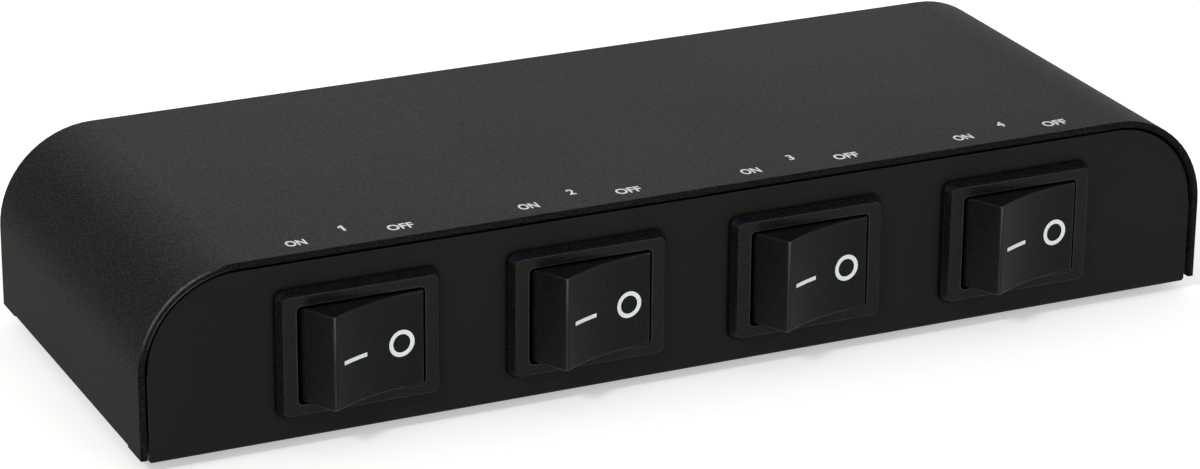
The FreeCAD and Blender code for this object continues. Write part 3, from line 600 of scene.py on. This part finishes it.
def grown_piece(name, mesh, tree, sizes):
    """Piece with the plain mesh that a tree makes from a start mesh and its named sizes."""
    piece = bpy.data.objects.new(name, mesh)
    bpy.context.scene.collection.objects.link(piece)
    modifier = piece.modifiers.new(name, "NODES")
    modifier.node_group = tree
    for item in tree.interface.items_tree:
        if item.name in sizes:
            modifier[item.identifier] = sizes[item.name]
    depsgraph = bpy.context.evaluated_depsgraph_get()
    grown = bpy.data.meshes.new_from_object(piece.evaluated_get(depsgraph))
    piece.modifiers.clear()
    piece.data = grown
    return piece


dome_angle = math.radians(84)
dome_rings = 18
dome_sides = 36
thread_rings = 60
thread_sides = 20
ear_inset = 3.5 * MM
head_radius = 2.8 * MM
head_height = 1.7 * MM
screw_sizes = {
    "Head Radius": head_radius,
    "Head Height": head_height,
    "Head Fullness": 0.55,
    "Recess Size": (3.2 * MM, 0.8 * MM, 1.8 * MM),
    "Shank Radius": 1.5 * MM,
    "Thread Pitch": 0.5 * MM,
    "Thread Depth": 0.22 * MM,
}


def pan_screw_tree():
    """Pan head screws with a cross recess and a rolled thread, one on each seat point.

    A screw is made with its head up and its seat at the origin. Facing turns them all, and each
    one has stopped at its own angle.
    """
    tree, given = new_tree("pan_head_screws", {
        "Head Radius": "Float", "Head Height": "Float", "Head Fullness": "Float",
        "Recess Size": "Vector", "Shank Radius": "Float", "Shank Length": "Float",
        "Thread Pitch": "Float", "Thread Depth": "Float", "Facing": "Vector", "Seed": "Int",
    })
    # Head: a line up the axis, swept by a circle that shrinks as the dome closes.
    axis = add_node(tree, "GeometryNodeCurvePrimitiveLine", {"End": (0, 0, 1)})
    steps = add_node(tree, "GeometryNodeResampleCurve", {"Curve": axis, "Count": dome_rings})
    along = add_node(tree, "GeometryNodeSplineParameter").outputs["Factor"]
    angle = add_node(tree, "ShaderNodeMath", {0: along, 1: dome_angle}, operation="MULTIPLY")
    rise = add_node(tree, "ShaderNodeMath", {0: angle}, operation="SINE")
    run = add_node(tree, "ShaderNodeMath", {0: angle}, operation="COSINE")
    full = add_node(tree, "ShaderNodeMath", {0: run, 1: given["Head Fullness"]}, operation="POWER")
    height = add_node(
        tree, "ShaderNodeMath", {0: rise, 1: given["Head Height"]}, operation="MULTIPLY"
    )
    width = add_node(
        tree, "ShaderNodeMath", {0: full, 1: given["Head Radius"]}, operation="MULTIPLY"
    )
    level = add_node(tree, "ShaderNodeCombineXYZ", {"Z": height})
    raised = add_node(tree, "GeometryNodeSetPosition", {"Geometry": steps, "Position": level})
    circle = add_node(
        tree, "GeometryNodeCurvePrimitiveCircle", {"Resolution": dome_sides, "Radius": 1.0}
    )
    head = add_node(
        tree, "GeometryNodeCurveToMesh",
        {"Curve": raised, "Profile Curve": circle, "Scale": width, "Fill Caps": True},
    )
    # Recess: two crossed blocks cut from the crown.
    block = add_node(tree, "GeometryNodeMeshCube", {"Size": given["Recess Size"]})
    crown = add_node(tree, "ShaderNodeCombineXYZ", {"Z": given["Head Height"]})
    blades = [
        add_node(
            tree, "GeometryNodeTransform",
            {"Geometry": block, "Translation": crown, "Rotation": (0, 0, turn)},
        )
        for turn in (0, math.pi / 2)
    ]
    recessed = add_node(
        tree, "GeometryNodeMeshBoolean", {"Mesh 1": head, "Mesh 2": blades[0]}, solver="EXACT"
    )
    crossed = add_node(
        tree, "GeometryNodeMeshBoolean", {"Mesh 1": recessed, "Mesh 2": blades[1]}, solver="EXACT"
    )
    # Shank: a cylinder whose radius follows the helix of the thread.
    rod = add_node(
        tree, "GeometryNodeMeshCylinder",
        {
            "Vertices": thread_sides, "Side Segments": thread_rings,
            "Radius": given["Shank Radius"], "Depth": given["Shank Length"],
        },
    )
    half = add_node(
        tree, "ShaderNodeMath", {0: given["Shank Length"], 1: -0.5}, operation="MULTIPLY"
    )
    below = add_node(tree, "ShaderNodeCombineXYZ", {"Z": half})
    sunk = add_node(tree, "GeometryNodeTransform", {"Geometry": rod, "Translation": below})
    spot = add_node(tree, "GeometryNodeInputPosition")
    x, y, z = add_node(tree, "ShaderNodeSeparateXYZ", {0: spot}).outputs
    round_angle = add_node(tree, "ShaderNodeMath", {0: y, 1: x}, operation="ARCTAN2")
    turns = add_node(tree, "ShaderNodeMath", {0: z, 1: given["Thread Pitch"]}, operation="DIVIDE")
    wound = add_node(
        tree, "ShaderNodeMath", {0: turns, 1: math.tau, 2: round_angle}, operation="MULTIPLY_ADD"
    )
    wave = add_node(tree, "ShaderNodeMath", {0: wound}, operation="SINE")
    cut = add_node(
        tree, "ShaderNodeMapRange",
        {"Value": wave, "From Min": -1.0, "To Min": given["Thread Depth"], "To Max": 0.0},
    )
    inward = add_node(
        tree, "ShaderNodeVectorMath", {0: spot, 1: (-1, -1, 0)}, operation="MULTIPLY"
    )
    unit = add_node(tree, "ShaderNodeVectorMath", {0: inward}, operation="NORMALIZE")
    shift = add_node(tree, "ShaderNodeVectorMath", {0: unit, "Scale": cut}, operation="SCALE")
    threaded = add_node(tree, "GeometryNodeSetPosition", {"Geometry": sunk, "Offset": shift})
    screw = add_node(tree, "GeometryNodeJoinGeometry", {0: crossed})
    tree.links.new(threaded.outputs[0], screw.inputs[0])
    placed = add_node(
        tree, "GeometryNodeInstanceOnPoints",
        {"Points": given["Mesh"], "Instance": screw, "Rotation": given["Facing"]},
    )
    stop = add_node(
        tree, "FunctionNodeRandomValue", {2: 0.0, 3: math.tau, "Seed": given["Seed"]},
        data_type="FLOAT",
    )
    spin = add_node(tree, "ShaderNodeCombineXYZ", {"Z": stop})
    driven = add_node(
        tree, "GeometryNodeRotateInstances",
        {"Instances": placed, "Rotation": spin, "Local Space": True},
    )
    return close_tree(tree, driven, given)


def make_screws(tree, name, node, seats, facing, length, seed):
    """Row of screws on their seats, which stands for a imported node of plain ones."""
    start = bpy.data.meshes.new(name)
    start.from_pydata(seats, [], [])
    sizes = {
        **screw_sizes, "Shank Length": length, "Facing": facing, "Seed": seed,
        "Finish": materials["screw_steel"],
    }
    piece = grown_piece(name, start, tree, sizes)
    return finish_piece(piece, ROOT, (node,))


def make_all_screws():
    """Screws up into the base, and two through the ears of each terminal block."""
    tree = pan_screw_tree()
    low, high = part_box("cover_screws")
    seat_z = low.z + head_height
    xs = (low.x + head_radius, high.x - head_radius)
    ys = (low.y + head_radius, 0, high.y - head_radius)
    seats = [(x, y, seat_z) for x in xs for y in ys]
    downward = (math.pi, 0, 0)
    make_screws(tree, "base_screws", "cover_screws", seats, downward, high.z - seat_z, seed=4)
    low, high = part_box("terminal_screws")
    seat_y = high.y - head_height
    seats = []
    for block in BLOCKS:
        left, right = (corner.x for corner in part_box("terminal_housing_" + block))
        ears = (left + ear_inset, right - ear_inset)
        seats += [(x, seat_y, block_centres[block].z) for x in ears]
    backward = (-math.pi / 2, 0, 0)
    length = seat_y - low.y
    make_screws(tree, "flange_screws", "terminal_screws", seats, backward, length, seed=9)


groove_count = 3
groove_pitch = 0.72 * MM
groove_radius = 0.32 * MM
groove_sides = 16
groove_lift = 0.12 * MM
groove_length = 9.0 * MM
groove_start = 2.85 * MM
merge_reach = 0.002 * MM


def grooved_tree():
    """Finger grooves cut across a lever's outer face, in a row up from the lowest one."""
    tree, given = new_tree("finger_grooves", {
        "Groove Count": "Int", "Groove Pitch": "Float", "Groove Radius": "Float",
        "Groove Length": "Float", "Lowest Groove": "Vector",
    })
    step = add_node(tree, "ShaderNodeCombineXYZ", {"Z": given["Groove Pitch"]})
    row = add_node(
        tree, "GeometryNodeMeshLine",
        {"Count": given["Groove Count"], "Start Location": given["Lowest Groove"], "Offset": step},
    )
    mill = add_node(
        tree, "GeometryNodeMeshCylinder",
        {
            "Vertices": groove_sides,
            "Radius": given["Groove Radius"], "Depth": given["Groove Length"],
        },
    )
    across = add_node(
        tree, "GeometryNodeTransform", {"Geometry": mill, "Rotation": (0, math.pi / 2, 0)}
    )
    mills = add_node(tree, "GeometryNodeInstanceOnPoints", {"Points": row, "Instance": across})
    cutters = add_node(tree, "GeometryNodeRealizeInstances", {"Geometry": mills})
    carved = add_node(
        tree, "GeometryNodeMeshBoolean", {"Mesh 1": given["Mesh"], "Mesh 2": cutters},
        solver="EXACT",
    )
    return close_tree(tree, carved, given)


def merged_copy(name, node):
    """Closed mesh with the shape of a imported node, whose triangles come in loose."""
    bm = bmesh.new()
    bm.from_mesh(frame["nodes"][node].data)
    bmesh.ops.remove_doubles(bm, verts=bm.verts, dist=merge_reach)
    bmesh.ops.dissolve_degenerate(bm, edges=bm.edges, dist=merge_reach)
    bm.verts.index_update()
    faces = [[v.index for v in f.verts] for f in bm.faces]
    mesh = bpy.data.meshes.new(name)
    mesh.from_pydata([v.co for v in bm.verts], [], faces)
    bm.free()
    return mesh


def make_levers():
    """Push levers with a grooved finger grip: one is carved, and the rest are set out from it."""
    tree = grooved_tree()
    pattern = lever_node(*LEVERS[0])
    low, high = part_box(pattern)
    start = Vector(((low.x + high.x) / 2, high.y + groove_lift, high.z - groove_start))
    sizes = {
        "Groove Count": groove_count, "Groove Pitch": groove_pitch, "Groove Radius": groove_radius,
        "Groove Length": groove_length, "Lowest Groove": start, "Finish": materials["lever_red"],
    }
    carved = grown_piece("carved_lever", merged_copy("carved_lever", pattern), tree, sizes)
    mesh = carved.data
    bpy.data.objects.remove(carved)
    for block, channel, polarity in LEVERS:
        node = lever_node(block, channel, polarity)
        slot = "lever_red" if polarity == "plus" else "lever_black"
        own = mesh.copy()
        own.transform(Matrix.Translation(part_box(node)[0] - low))
        own.materials.clear()
        piece = new_piece("grooved_" + node, own, materials[slot])
        finish_piece(piece, node + "_moving", (node,))


# ------------------------------------------------------------------------ rocker's marks
hollow_radius = (ridge_reach ** 2 + face_hollow ** 2) / (2 * face_hollow)
ink_lift = 0.03 * MM

bar_centre = -5.15 * MM
bar_length = 6.0 * MM
bar_width = 0.8 * MM
bar_drop = 0.5 * MM
bar_steps = 14
ring_centre = 5.85 * MM
ring_outer = 2.72 * MM
ring_inner = 1.86 * MM
ring_drop = 0.35 * MM
ring_steps = 72


def on_rocker_face(n, across, up, lift):
    """Point on the resting rocker's face, from the middle of the face."""
    sag = hollow_radius - math.sqrt(hollow_radius ** 2 - across ** 2)
    local = Vector((across, face_hollow - ridge_rise - sag - lift, up))
    return rocker_pivot(n) + rocker_tilt @ local


def add_ribbon(bm, n, inner, outer, closed):
    """Band of ink between two lines of the same count on the rocker's face, with thickness."""
    rows = [
        [bm.verts.new(on_rocker_face(n, x, z, lift)) for x, z in line]
        for line, lift in ((inner, 0), (inner, ink_lift), (outer, ink_lift), (outer, 0))
    ]
    count = len(inner)
    last = count if closed else count - 1
    for low, high in zip(rows, rows[1:] + rows[:1]):
        for i in range(last):
            j = (i + 1) % count
            bm.faces.new((low[i], low[j], high[j], high[i]))
    if not closed:
        bm.faces.new([row[0] for row in rows])
        bm.faces.new([row[-1] for row in rows])


def make_rocker_marks(n):
    """Off ring and on bar, pad printed on the rocker's face."""
    bm = bmesh.new()
    xs = [bar_centre + bar_length * (i / bar_steps - 0.5) for i in range(bar_steps + 1)]
    low, high = (-bar_drop - bar_width / 2, -bar_drop + bar_width / 2)
    add_ribbon(bm, n, [(x, low) for x in xs], [(x, high) for x in xs], closed=False)
    turns = [math.tau * i / ring_steps for i in range(ring_steps)]
    circles = [
        [(ring_centre + r * math.cos(a), r * math.sin(a) - ring_drop) for a in turns]
        for r in (ring_inner, ring_outer)
    ]
    add_ribbon(bm, n, *circles, closed=True)
    bmesh.ops.recalc_face_normals(bm, faces=bm.faces)
    mesh = bpy.data.meshes.new("rocker_%d_marks" % n)
    bm.to_mesh(mesh)
    bm.free()
    piece = new_piece("rocker_%d_marks" % n, mesh, materials["rocker_ink"])
    return finish_piece(piece, "rocker_%d_moving" % n)


# ----------------------------------------------------------------------------- lettering
ARROW = "arrow"
# Signs that are drawn: their corners, in shares of the sign's height.
OUTLINES = {
    "1": [(0.24, 0), (0.42, 0), (0.42, 1), (0.3, 1), (0, 0.78), (0, 0.6), (0.24, 0.75)],
    ARROW: [(0.45, 0), (0.9, 0.5), (0.58, 0.5), (0.58, 1), (0.32, 1), (0.32, 0.5), (0, 0.5)],
}
capital_share = 0.72
curve_steps = 6
letter_narrowing = 0.82
label_height = 3.7 * MM
label_weight = 0.09 * MM
on_width = 4.05 * MM
off_width = 5.3 * MM
# The lettering has its own pitch, a little wider than that of the switches.
label_pitch = 47.67 * MM
label_shift = 0.62 * MM
middle_switch = sum(SWITCHES) / len(SWITCHES)
on_off_reach = 10.6 * MM
on_off_setback = 5.2 * MM
number_setback = 8.8 * MM
rear_label_height = 2.7 * MM
rear_sign_height = 4.2 * MM
rear_label_weight = 0.03 * MM
joining_reach = 0.001 * MM


def drawn_outline(outline, height):
    """Flat shape within an outline whose corners are given in shares of its height."""
    curve = bpy.data.curves.new("outline", "CURVE")
    curve.dimensions = "2D"
    curve.fill_mode = "BOTH"
    spline = curve.splines.new("POLY")
    spline.points.add(len(outline) - 1)
    for point, (x, y) in zip(spline.points, outline):
        point.co = (x * height, y * height, 0, 1)
    spline.use_cyclic_u = True
    return curve


def written_words(words, size):
    curve = bpy.data.curves.new("words", "FONT")
    curve.body = words
    curve.size = size
    curve.resolution_u = curve_steps
    return curve


def lettering(words, height, weight, place, right, up, width=None):
    """Mesh of words or of a sign, centred on a place of a flat panel, a film of ink thick."""
    if words in OUTLINES:
        curve = drawn_outline(OUTLINES[words], height * capital_share)
    else:
        curve = written_words(words, height)
    curve.offset = weight
    curve.extrude = ink_lift
    writer = bpy.data.objects.new("words", curve)
    bpy.context.scene.collection.objects.link(writer)
    depsgraph = bpy.context.evaluated_depsgraph_get()
    mesh = bpy.data.meshes.new_from_object(writer.evaluated_get(depsgraph))
    bpy.data.objects.remove(writer)
    xs = [v.co.x for v in mesh.vertices]
    ys = [v.co.y for v in mesh.vertices]
    middle = Vector((min(xs) + max(xs), min(ys) + max(ys), 0)) / 2
    squeeze = width / (max(xs) - min(xs)) if width else letter_narrowing
    turn = Matrix((right, up, right.cross(up))).transposed().to_4x4()
    shape = Matrix.Diagonal((squeeze, 1, 1, 1)) @ Matrix.Translation(-middle)
    mesh.transform(Matrix.Translation(place) @ turn @ shape)
    return mesh


def joined_meshes(name, meshes):
    """One mesh of several, with the doubled points of each merged."""
    bm = bmesh.new()
    for mesh in meshes:
        bm.from_mesh(mesh)
    bmesh.ops.remove_doubles(bm, verts=bm.verts, dist=joining_reach)
    joined = bpy.data.meshes.new(name)
    bm.to_mesh(joined)
    bm.free()
    return joined


def make_front_lettering():
    """On, off and the pair's number above each switch, on the cover's top."""
    meshes = []
    for n in SWITCHES:
        middle = (n - middle_switch) * label_pitch + label_shift
        for words, across, setback, width in (
            ("ON", -on_off_reach, on_off_setback, on_width),
            (str(n), 0, number_setback, None),
            ("OFF", on_off_reach, on_off_setback, off_width),
        ):
            place = Vector((middle + across, cover_low.y + setback, cover_high.z))
            meshes.append(
                lettering(words, label_height, label_weight, place, RIGHT, BACKWARD, width)
            )
    mesh = joined_meshes("front_lettering", meshes)
    return finish_piece(new_piece("front_lettering", mesh, materials["panel_ink"]), ROOT)


def make_rear_lettering():
    """Signs above the blocks: an arrow into the input or the pair's number, and the channels.

    Beside them stand plus and minus signs.
    """
    meshes = []
    for block in BLOCKS:
        block_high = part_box("terminal_housing_" + block)[1]
        label_z = (block_high.z + chassis_high.z) / 2
        number = ARROW if block == "input" else block[-1]
        signs = [(number, rear_label_height, block_centres[block].x, label_z)]
        for channel in CHANNELS:
            x = centre(lever_node(block, channel, "plus")).x
            signs.append((channel[0].upper(), rear_label_height, x, label_z))
        for polarity, sign in zip(POLARITIES, "+−"):
            z = centre(lever_node(block, "left", polarity)).z
            signs.append((sign, rear_sign_height, block_high.x + rear_sign_height / 2, z))
        for sign, height, x, z in signs:
            place = Vector((x, chassis_high.y, z))
            meshes.append(lettering(sign, height, rear_label_weight, place, -RIGHT, UP))
    mesh = joined_meshes("rear_lettering", meshes)
    return finish_piece(new_piece("rear_lettering", mesh, materials["panel_ink"]), ROOT)


# ------------------------------------------------------------------------------- staging
camera_azimuth = math.radians(-25.01)
camera_elevation = math.radians(21.44)
camera_roll = math.radians(0.447)
camera_distance = 839.4 * MM
camera_target = Vector((-13.34, -26.06, 27.28)) * MM
camera_lens = 127.86
film_width = 36.0
nearest_seen = 0.05
farthest_seen = 50


def make_camera():
    """Long lens that looks down at the box from the front, a little from the left."""
    back = Vector((
        math.sin(camera_azimuth) * math.cos(camera_elevation),
        -math.cos(camera_azimuth) * math.cos(camera_elevation),
        math.sin(camera_elevation),
    ))
    right = UP.cross(back).normalized()
    up = back.cross(right)
    turn = Matrix((right, up, back)).transposed().to_4x4()
    data = bpy.data.cameras.new("camera")
    data.lens = camera_lens
    data.sensor_width = film_width
    data.clip_start = nearest_seen
    data.clip_end = farthest_seen
    camera = bpy.data.objects.new("camera", data)
    bpy.context.scene.collection.objects.link(camera)
    place = Matrix.Translation(camera_target + back * camera_distance)
    camera.matrix_world = place @ turn @ Matrix.Rotation(camera_roll, 4, "Z")
    bpy.context.scene.camera = camera


def add_softbox(name, place, width, height, power, colour):
    """Lamp with a rectangular face that shines on the origin."""
    data = bpy.data.lights.new(name, "AREA")
    data.shape = "RECTANGLE"
    data.size = width
    data.size_y = height
    data.energy = power
    data.color = colour
    lamp = bpy.data.objects.new(name, data)
    bpy.context.scene.collection.objects.link(lamp)
    lamp.location = place
    lamp.rotation_euler = (-lamp.location).to_track_quat("-Z", "Y").to_euler()


def seen_directly(tree):
    """1 for what the eye, a mirror or glass sees, and 0 for light that falls on something."""
    path = add_node(tree, "ShaderNodeLightPath")
    either = add_node(
        tree, "ShaderNodeMath",
        {0: path.outputs["Is Camera Ray"], 1: path.outputs["Is Glossy Ray"]}, operation="MAXIMUM",
    )
    return add_node(
        tree, "ShaderNodeMath",
        {0: either, 1: path.outputs["Is Transmission Ray"]}, operation="MAXIMUM",
    )


floor_glow = 0.44
floor_half = 6.0
# The mirror image dims leftward between these two places, from the one share to the other.
fading_x = (-0.15, -0.26)
fading_share = (0.16, 0.7)


def make_floor():
    """Pale table that carries the shadow and fades to white."""
    material, tree, place = new_material("pale_table")
    matt = add_node(tree, "ShaderNodeBsdfDiffuse", {"Color": srgb("E9E9E8")})
    strength = add_node(
        tree, "ShaderNodeMath", {0: seen_directly(tree), 1: floor_glow}, operation="MULTIPLY"
    )
    glow = add_node(tree, "ShaderNodeEmission", {"Strength": strength})
    both = add_node(tree, "ShaderNodeAddShader", {0: matt, 1: glow})
    across = add_node(tree, "ShaderNodeSeparateXYZ", {0: place})
    fading = add_node(
        tree, "ShaderNodeMapRange",
        {
            "Value": across, "From Min": fading_x[0], "From Max": fading_x[1],
            "To Min": fading_share[0], "To Max": fading_share[1],
        },
    )
    mirrored = add_node(tree, "ShaderNodeLightPath").outputs["Is Glossy Ray"]
    share = add_node(tree, "ShaderNodeMath", {0: mirrored, 1: fading}, operation="MULTIPLY")
    table = add_node(tree, "ShaderNodeMixShader", {0: share, 1: both})
    add_node(tree, "ShaderNodeOutputMaterial", {"Surface": table})
    bm = bmesh.new()
    corners = [(-1, -1), (1, -1), (1, 1), (-1, 1)]
    level = cad_box[0].z
    bm.faces.new([bm.verts.new((x * floor_half, y * floor_half, level)) for x, y in corners])
    mesh = bpy.data.meshes.new("floor")
    bm.to_mesh(mesh)
    bm.free()
    new_piece("floor", mesh, material)


# Each lamp's place, width and height in metres, its power in watts and its colour.
softboxes = {
    "key_softbox": ((-0.75, -0.66, 0.80), 0.16, 0.16, 5.5, (1.0, 0.99, 0.97)),
    "back_softbox": ((0.9, 3.5, 1.5), 3.2, 1.8, 25.5, (1.0, 0.985, 0.9)),
    "front_softbox": ((1.0, -2.4, 1.1), 1.4, 1.4, 11, (1.0, 0.99, 0.96)),
}
world_light = 0.62
# Directions between which the surroundings turn dim overhead and bluish to the left.
dimming_z = (0.38, 0.76)
bluing_x = (0.15, -0.4)


def make_light():
    """Pale surroundings, bluish to the left and dim overhead, a small key and two soft fills."""
    world = bpy.data.worlds.new("studio")
    bpy.context.scene.world = world
    tree = emptied_tree(world)
    direction = add_node(tree, "ShaderNodeTexCoord").outputs["Generated"]
    x, _, z = add_node(tree, "ShaderNodeSeparateXYZ", {0: direction}).outputs
    overhead = add_node(
        tree, "ShaderNodeMapRange", {"Value": z, "From Min": dimming_z[0], "From Max": dimming_z[1]}
    )
    leftward = add_node(
        tree, "ShaderNodeMapRange", {"Value": x, "From Min": bluing_x[0], "From Max": bluing_x[1]}
    )
    walls = add_node(
        tree, "ShaderNodeMix", {0: leftward, 6: srgb("FFFFFF"), 7: srgb("D6E2FF")}, data_type="RGBA"
    )
    around = add_node(
        tree, "ShaderNodeMix", {0: overhead, 6: walls, 7: srgb("6470B8")}, data_type="RGBA"
    )
    seen = seen_directly(tree)
    colour = add_node(
        tree, "ShaderNodeMix", {0: seen, 6: srgb("FAF9F7"), 7: around}, data_type="RGBA"
    )
    strength = add_node(tree, "ShaderNodeMapRange", {"Value": seen, "To Min": world_light})
    sky = add_node(tree, "ShaderNodeBackground", {"Color": colour, "Strength": strength})
    add_node(tree, "ShaderNodeOutputWorld", {"Surface": sky})
    for name, settings in softboxes.items():
        add_softbox(name, *settings)


# ------------------------------------------------------------------------------ assembly
bpy.context.scene.view_settings.view_transform = "Standard"
dress_cad_nodes()
make_all_screws()
make_levers()
for switch in SWITCHES:
    make_rocker_marks(switch)
make_front_lettering()
make_rear_lettering()
make_camera()
make_light()
make_floor()
